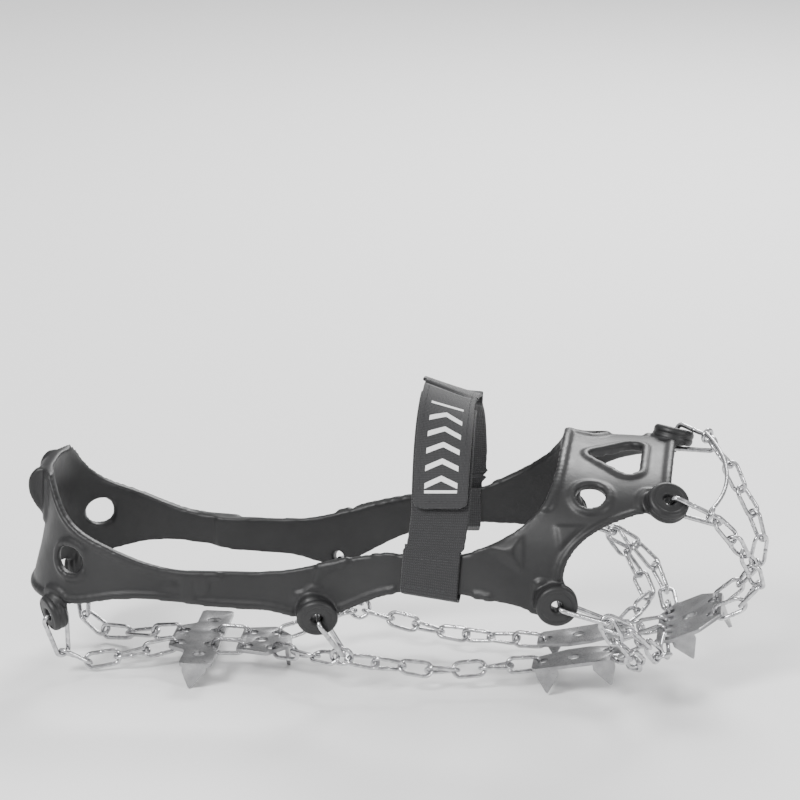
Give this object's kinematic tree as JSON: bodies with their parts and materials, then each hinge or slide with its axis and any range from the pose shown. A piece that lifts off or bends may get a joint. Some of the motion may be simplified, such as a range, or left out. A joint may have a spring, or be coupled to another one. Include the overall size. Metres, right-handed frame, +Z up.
{
  "type": "microspikes",
  "caption": "Slip-on boot traction device: stretch elastomer harness with instep strap, anchor lugs, steel chains and spiked plates, shaped as worn on a right hiking boot.",
  "frame": {"origin": "bottom centre of the bounding box, on the ground under the spike tips", "axes": "+X runs from heel to toe, +Y to the big-toe side of the right boot, +Z up"},
  "size_m": [0.3156, 0.12, 0.132],
  "materials": {
    "elastomer": "moulded charcoal elastomer, satin",
    "webbing": "woven black nylon webbing",
    "hook_patch": "black hook-and-loop tab with woven cover",
    "chain_steel": "bright stainless wire, welded links",
    "spike_steel": "stamped stainless sheet, tumbled"
  },
  "bodies": {
    "harness": {"harness": "elastomer", "strap_right_webbing": "webbing", "strap_left_loop": "webbing"},
    "strap_left": {"strap_left_webbing": "webbing"},
    "strap_tab": {"strap_hook_tab": "hook_patch"},
    "eyelet_rear_right": {"eyelet_link_rear_right": "chain_steel"},
    "eyelet_rear_left": {"eyelet_link_rear_left": "chain_steel"},
    "eyelet_middle_right": {"eyelet_link_middle_right": "chain_steel"},
    "eyelet_middle_left": {"eyelet_link_middle_left": "chain_steel"},
    "eyelet_fore_right": {"eyelet_link_fore_right": "chain_steel"},
    "eyelet_fore_left": {"eyelet_link_fore_left": "chain_steel"},
    "eyelet_front_right": {"eyelet_link_front_right": "chain_steel"},
    "eyelet_front_left": {"eyelet_link_front_left": "chain_steel"},
    "toe_bail": {"toe_bail": "chain_steel"},
    "heel_rear_plate": {"heel_rear_plate": "spike_steel"},
    "heel_front_plate": {"heel_front_plate": "spike_steel"},
    "ball_plate_right": {"ball_plate_right": "spike_steel"},
    "ball_plate_left": {"ball_plate_left": "spike_steel"},
    "toe_plate": {"toe_plate": "spike_steel"},
    "middle_ring_right": {"middle_ring_right": "chain_steel"},
    "middle_ring_left": {"middle_ring_left": "chain_steel"},
    "rear_chain_right_1": {"rear_chain_right_1": "chain_steel"},
    "rear_chain_right_2": {"rear_chain_right_2": "chain_steel"},
    "rear_chain_right_3": {"rear_chain_right_3": "chain_steel"},
    "rear_chain_right_4": {"rear_chain_right_4": "chain_steel"},
    "heel_plate_link_right": {"heel_plate_link_right": "chain_steel"},
    "arch_chain_right": {"arch_chain_right": "chain_steel"},
    "middle_chain_right": {"middle_chain_right": "chain_steel"},
    "ball_chain_right": {"ball_chain_right": "chain_steel"},
    "fore_chain_right_1": {"fore_chain_right_1": "chain_steel"},
    "fore_chain_right_2": {"fore_chain_right_2": "chain_steel"},
    "fore_chain_right_3": {"fore_chain_right_3": "chain_steel"},
    "fore_chain_right_4": {"fore_chain_right_4": "chain_steel"},
    "fore_chain_right_5": {"fore_chain_right_5": "chain_steel"},
    "rear_chain_left_1": {"rear_chain_left_1": "chain_steel"},
    "rear_chain_left_2": {"rear_chain_left_2": "chain_steel"},
    "rear_chain_left_3": {"rear_chain_left_3": "chain_steel"},
    "rear_chain_left_4": {"rear_chain_left_4": "chain_steel"},
    "heel_plate_link_left": {"heel_plate_link_left": "chain_steel"},
    "arch_chain_left": {"arch_chain_left": "chain_steel"},
    "middle_chain_left": {"middle_chain_left": "chain_steel"},
    "ball_chain_left": {"ball_chain_left": "chain_steel"},
    "fore_chain_left_1": {"fore_chain_left_1": "chain_steel"},
    "fore_chain_left_2": {"fore_chain_left_2": "chain_steel"},
    "fore_chain_left_3": {"fore_chain_left_3": "chain_steel"},
    "fore_chain_left_4": {"fore_chain_left_4": "chain_steel"},
    "fore_chain_left_5": {"fore_chain_left_5": "chain_steel"},
    "front_chain_right_1": {"front_chain_right_1": "chain_steel"},
    "front_chain_right_2": {"front_chain_right_2": "chain_steel"},
    "front_chain_right_3": {"front_chain_right_3": "chain_steel"},
    "front_chain_right_4": {"front_chain_right_4": "chain_steel"},
    "front_chain_right_5": {"front_chain_right_5": "chain_steel"},
    "front_chain_right_6": {"front_chain_right_6": "chain_steel"},
    "front_chain_left_1": {"front_chain_left_1": "chain_steel"},
    "front_chain_left_2": {"front_chain_left_2": "chain_steel"},
    "front_chain_left_3": {"front_chain_left_3": "chain_steel"},
    "front_chain_left_4": {"front_chain_left_4": "chain_steel"},
    "front_chain_left_5": {"front_chain_left_5": "chain_steel"},
    "front_chain_left_6": {"front_chain_left_6": "chain_steel"},
    "front_chain_left_7": {"front_chain_left_7": "chain_steel"}
  },
  "joints": [
    {"name": "left_webbing_swing", "type": "hinge", "parent": "harness", "child": "strap_left", "pos_m": [0.02233, 0.04214, 0.07589], "axis": [-0.973, -0.231, 0.0005], "range_deg": [0, 60]},
    {"name": "hook_tab_peel", "type": "hinge", "parent": "strap_left", "child": "strap_tab", "pos_m": [0.02283, -0.00014, 0.12829], "axis": [-0.9469, 0.0003, 0.3216], "range_deg": [0, 110]},
    {"name": "eyelet_roll_rear_right", "type": "hinge", "parent": "harness", "child": "eyelet_rear_right", "pos_m": [-0.14386, -0.02714, 0.03025], "axis": [0.0924, 0.2772, -0.9564], "range_deg": [-1.5, 1.5]},
    {"name": "eyelet_roll_rear_left", "type": "hinge", "parent": "harness", "child": "eyelet_rear_left", "pos_m": [-0.14386, 0.02919, 0.03025], "axis": [0.0924, -0.2772, -0.9564], "range_deg": [-1.5, 1.5]},
    {"name": "eyelet_roll_middle_right", "type": "hinge", "parent": "harness", "child": "eyelet_middle_right", "pos_m": [-0.02875, -0.0368, 0.03759], "axis": [0.4356, 0.3131, -0.8439], "range_deg": [-5, 5]},
    {"name": "eyelet_roll_middle_left", "type": "hinge", "parent": "harness", "child": "eyelet_middle_left", "pos_m": [-0.02874, 0.03556, 0.03758], "axis": [0.4374, -0.3007, -0.8475], "range_deg": [-5, 5]},
    {"name": "eyelet_roll_fore_right", "type": "hinge", "parent": "harness", "child": "eyelet_fore_right", "pos_m": [0.07354, -0.05411, 0.05418], "axis": [0.9263, 0.1408, -0.3496], "range_deg": [-5, 5]},
    {"name": "eyelet_roll_fore_left", "type": "hinge", "parent": "harness", "child": "eyelet_fore_left", "pos_m": [0.06994, 0.05407, 0.05677], "axis": [0.9241, -0.1262, -0.3606], "range_deg": [-5, 5]},
    {"name": "eyelet_roll_front_right", "type": "hinge", "parent": "harness", "child": "eyelet_front_right", "pos_m": [0.11727, -0.03388, 0.09311], "axis": [0.9449, -0.0046, -0.3273], "range_deg": [-5, 5]},
    {"name": "eyelet_roll_front_left", "type": "hinge", "parent": "harness", "child": "eyelet_front_left", "pos_m": [0.11629, 0.0288, 0.10204], "axis": [0.7968, -0.6034, 0.0322], "range_deg": [-5, 5]},
    {"name": "bail_flip", "type": "hinge", "parent": "harness", "child": "toe_bail", "pos_m": [0.13379, -0.03577, 0.09011], "axis": [0.0631, -0.9618, -0.2664], "range_deg": [-4, 22]},
    {"name": "heel_rear_plate_rock", "type": "hinge", "parent": "harness", "child": "heel_rear_plate", "pos_m": [-0.08317, 0.00102, 0.0108], "axis": [1, 0, 0], "range_deg": [-2, 2]},
    {"name": "heel_front_plate_rock", "type": "hinge", "parent": "harness", "child": "heel_front_plate", "pos_m": [-0.05757, 0.00102, 0.0108], "axis": [1, 0, 0], "range_deg": [-2, 2]},
    {"name": "ball_plate_right_rock", "type": "hinge", "parent": "harness", "child": "ball_plate_right", "pos_m": [0.07733, -0.01148, 0.01443], "axis": [0.9808, 0, 0.1953], "range_deg": [-4, 4]},
    {"name": "ball_plate_left_rock", "type": "hinge", "parent": "harness", "child": "ball_plate_left", "pos_m": [0.07733, 0.01352, 0.01443], "axis": [0.9808, 0, 0.1953], "range_deg": [-4, 4]},
    {"name": "toe_plate_rock", "type": "hinge", "parent": "harness", "child": "toe_plate", "pos_m": [0.12533, 0.00102, 0.03027], "axis": [0.9082, 0, 0.4186], "range_deg": [-1.5, 1.5]},
    {"name": "middle_ring_turn_right", "type": "hinge", "parent": "harness", "child": "middle_ring_right", "pos_m": [-0.01999, -0.03051, 0.02062], "axis": [0, 0.3489, -0.9371], "range_deg": [-2.5, 2.5]},
    {"name": "middle_ring_turn_left", "type": "hinge", "parent": "harness", "child": "middle_ring_left", "pos_m": [-0.01995, 0.02952, 0.02055], "axis": [0, -0.3489, -0.9371], "range_deg": [-2.5, 2.5]},
    {"name": "rear_chain_right_1_roll", "type": "hinge", "parent": "harness", "child": "rear_chain_right_1", "pos_m": [-0.142, -0.02157, 0.01103], "axis": [0.7977, 0.37, -0.4763], "range_deg": [-3, 3]},
    {"name": "rear_chain_right_2_roll", "type": "hinge", "parent": "harness", "child": "rear_chain_right_2", "pos_m": [-0.13194, -0.01691, 0.00502], "axis": [0.951, 0.2906, 0.1057], "range_deg": [-3, 3]},
    {"name": "rear_chain_right_3_roll", "type": "hinge", "parent": "harness", "child": "rear_chain_right_3", "pos_m": [-0.11991, -0.01323, 0.00636], "axis": [0.953, 0.2609, 0.1542], "range_deg": [-5, 5]},
    {"name": "rear_chain_right_4_roll", "type": "hinge", "parent": "harness", "child": "rear_chain_right_4", "pos_m": [-0.10787, -0.00994, 0.00831], "axis": [0.9521, 0.233, 0.1982], "range_deg": [-5, 5]},
    {"name": "heel_plate_link_right_roll", "type": "hinge", "parent": "harness", "child": "heel_plate_link_right", "pos_m": [-0.07817, -0.00698, 0.0108], "axis": [1, 0, 0], "range_deg": [-5, 5]},
    {"name": "arch_chain_right_sway", "type": "hinge", "parent": "harness", "child": "arch_chain_right", "pos_m": [-0.0228, -0.02881, 0.01605], "axis": [-0.8116, 0.5652, -0.1479], "range_deg": [-6, 6]},
    {"name": "middle_chain_right_sway", "type": "hinge", "parent": "harness", "child": "middle_chain_right", "pos_m": [-0.01718, -0.02881, 0.01605], "axis": [0.9763, 0.2085, -0.0588], "range_deg": [-6, 6]},
    {"name": "ball_chain_right_sway", "type": "hinge", "parent": "harness", "child": "ball_chain_right", "pos_m": [0.094, -0.00998, 0.01775], "axis": [0.905, 0.2658, 0.3321], "range_deg": [-6, 6]},
    {"name": "fore_chain_right_1_roll", "type": "hinge", "parent": "harness", "child": "fore_chain_right_1", "pos_m": [0.09216, -0.05128, 0.04715], "axis": [0.8807, 0.1997, -0.4294], "range_deg": [-5, 5]},
    {"name": "fore_chain_right_2_roll", "type": "hinge", "parent": "harness", "child": "fore_chain_right_2", "pos_m": [0.10234, -0.04897, 0.04219], "axis": [0.6214, 0.4031, -0.6718], "range_deg": [-5, 5]},
    {"name": "fore_chain_right_3_roll", "type": "hinge", "parent": "harness", "child": "fore_chain_right_3", "pos_m": [0.10953, -0.04431, 0.03442], "axis": [0.3798, 0.6351, -0.6726], "range_deg": [-5, 5]},
    {"name": "fore_chain_right_4_roll", "type": "hinge", "parent": "harness", "child": "fore_chain_right_4", "pos_m": [0.11394, -0.03694, 0.02661], "axis": [0.1683, 0.9557, -0.2415], "range_deg": [-5, 5]},
    {"name": "fore_chain_right_5_roll", "type": "hinge", "parent": "harness", "child": "fore_chain_right_5", "pos_m": [0.11589, -0.02585, 0.02381], "axis": [0.0179, 0.9814, 0.191], "range_deg": [-5, 5]},
    {"name": "rear_chain_left_1_roll", "type": "hinge", "parent": "harness", "child": "rear_chain_left_1", "pos_m": [-0.142, 0.02362, 0.01103], "axis": [0.7977, -0.37, -0.4763], "range_deg": [-3, 3]},
    {"name": "rear_chain_left_2_roll", "type": "hinge", "parent": "harness", "child": "rear_chain_left_2", "pos_m": [-0.13194, 0.01895, 0.00502], "axis": [0.951, -0.2906, 0.1057], "range_deg": [-3, 3]},
    {"name": "rear_chain_left_3_roll", "type": "hinge", "parent": "harness", "child": "rear_chain_left_3", "pos_m": [-0.11991, 0.01528, 0.00636], "axis": [0.953, -0.2609, 0.1542], "range_deg": [-5, 5]},
    {"name": "rear_chain_left_4_roll", "type": "hinge", "parent": "harness", "child": "rear_chain_left_4", "pos_m": [-0.10787, 0.01198, 0.00831], "axis": [0.9521, -0.233, 0.1982], "range_deg": [-5, 5]},
    {"name": "heel_plate_link_left_roll", "type": "hinge", "parent": "harness", "child": "heel_plate_link_left", "pos_m": [-0.07817, 0.00902, 0.0108], "axis": [1, 0, 0], "range_deg": [-5, 5]},
    {"name": "arch_chain_left_sway", "type": "hinge", "parent": "harness", "child": "arch_chain_left", "pos_m": [-0.02277, 0.02782, 0.01598], "axis": [-0.8511, -0.5023, -0.1527], "range_deg": [-6, 6]},
    {"name": "middle_chain_left_sway", "type": "hinge", "parent": "harness", "child": "middle_chain_left", "pos_m": [-0.01714, 0.02782, 0.01598], "axis": [0.9833, -0.1722, -0.0583], "range_deg": [-6, 6]},
    {"name": "ball_chain_left_sway", "type": "hinge", "parent": "harness", "child": "ball_chain_left", "pos_m": [0.094, 0.01202, 0.01775], "axis": [0.905, -0.2658, 0.3321], "range_deg": [-6, 6]},
    {"name": "fore_chain_left_1_roll", "type": "hinge", "parent": "harness", "child": "fore_chain_left_1", "pos_m": [0.08852, 0.05153, 0.04952], "axis": [0.8832, -0.0327, -0.4678], "range_deg": [-5, 5]},
    {"name": "fore_chain_left_2_roll", "type": "hinge", "parent": "harness", "child": "fore_chain_left_2", "pos_m": [0.09944, 0.05113, 0.04373], "axis": [0.7059, -0.315, -0.6344], "range_deg": [-5, 5]},
    {"name": "fore_chain_left_3_roll", "type": "hinge", "parent": "harness", "child": "fore_chain_left_3", "pos_m": [0.10818, 0.04723, 0.03588], "axis": [0.4406, -0.557, -0.704], "range_deg": [-5, 5]},
    {"name": "fore_chain_left_4_roll", "type": "hinge", "parent": "harness", "child": "fore_chain_left_4", "pos_m": [0.11361, 0.04037, 0.02721], "axis": [0.1838, -0.9393, -0.2897], "range_deg": [-5, 5]},
    {"name": "fore_chain_left_5_roll", "type": "hinge", "parent": "harness", "child": "fore_chain_left_5", "pos_m": [0.11587, 0.02879, 0.02363], "axis": [0.0179, -0.9814, 0.191], "range_deg": [-5, 5]},
    {"name": "front_chain_right_1_roll", "type": "hinge", "parent": "harness", "child": "front_chain_right_1", "pos_m": [0.13626, -0.03397, 0.08653], "axis": [0.5992, 0.304, -0.7406], "range_deg": [-5, 5]},
    {"name": "front_chain_right_2_roll", "type": "hinge", "parent": "harness", "child": "front_chain_right_2", "pos_m": [0.14326, -0.03042, 0.07787], "axis": [0.3399, 0.5252, -0.7801], "range_deg": [-5, 5]},
    {"name": "front_chain_right_3_roll", "type": "hinge", "parent": "harness", "child": "front_chain_right_3", "pos_m": [0.14725, -0.02426, 0.06872], "axis": [0.3484, 0.6215, -0.7016], "range_deg": [-5, 5]},
    {"name": "front_chain_right_4_roll", "type": "hinge", "parent": "harness", "child": "front_chain_right_4", "pos_m": [0.15133, -0.01698, 0.0605], "axis": [0.2053, 0.4926, -0.8457], "range_deg": [-5, 5]},
    {"name": "front_chain_right_5_roll", "type": "hinge", "parent": "harness", "child": "front_chain_right_5", "pos_m": [0.15374, -0.0112, 0.05058], "axis": [-0.5271, 0.2513, -0.8118], "range_deg": [-5, 5]},
    {"name": "front_chain_right_6_roll", "type": "hinge", "parent": "harness", "child": "front_chain_right_6", "pos_m": [0.14754, -0.00824, 0.04103], "axis": [-0.8868, 0.0908, -0.4531], "range_deg": [-5, 5]},
    {"name": "front_chain_left_1_roll", "type": "hinge", "parent": "harness", "child": "front_chain_left_1", "pos_m": [0.1323, 0.01667, 0.10269], "axis": [0.6564, -0.4485, -0.6066], "range_deg": [-5, 5]},
    {"name": "front_chain_left_2_roll", "type": "hinge", "parent": "harness", "child": "front_chain_left_2", "pos_m": [0.13988, 0.01149, 0.09568], "axis": [0.4346, -0.0524, -0.8991], "range_deg": [-5, 5]},
    {"name": "front_chain_left_3_roll", "type": "hinge", "parent": "harness", "child": "front_chain_left_3", "pos_m": [0.14494, 0.01088, 0.08522], "axis": [0.5055, -0.0737, -0.8597], "range_deg": [-5, 5]},
    {"name": "front_chain_left_4_roll", "type": "hinge", "parent": "harness", "child": "front_chain_left_4", "pos_m": [0.15082, 0.01002, 0.07523], "axis": [0.3129, -0.0226, -0.9495], "range_deg": [-5, 5]},
    {"name": "front_chain_left_5_roll", "type": "hinge", "parent": "harness", "child": "front_chain_left_5", "pos_m": [0.15443, 0.00976, 0.06426], "axis": [-0.1414, -0.0268, -0.9896], "range_deg": [-5, 5]},
    {"name": "front_chain_left_6_roll", "type": "hinge", "parent": "harness", "child": "front_chain_left_6", "pos_m": [0.15279, 0.00945, 0.0528], "axis": [-0.6001, -0.0136, -0.7998], "range_deg": [-5, 5]},
    {"name": "front_chain_left_7_roll", "type": "hinge", "parent": "harness", "child": "front_chain_left_7", "pos_m": [0.1458, 0.0093, 0.04348], "axis": [-0.7445, -0.0064, -0.6676], "range_deg": [-5, 5]}
  ]
}
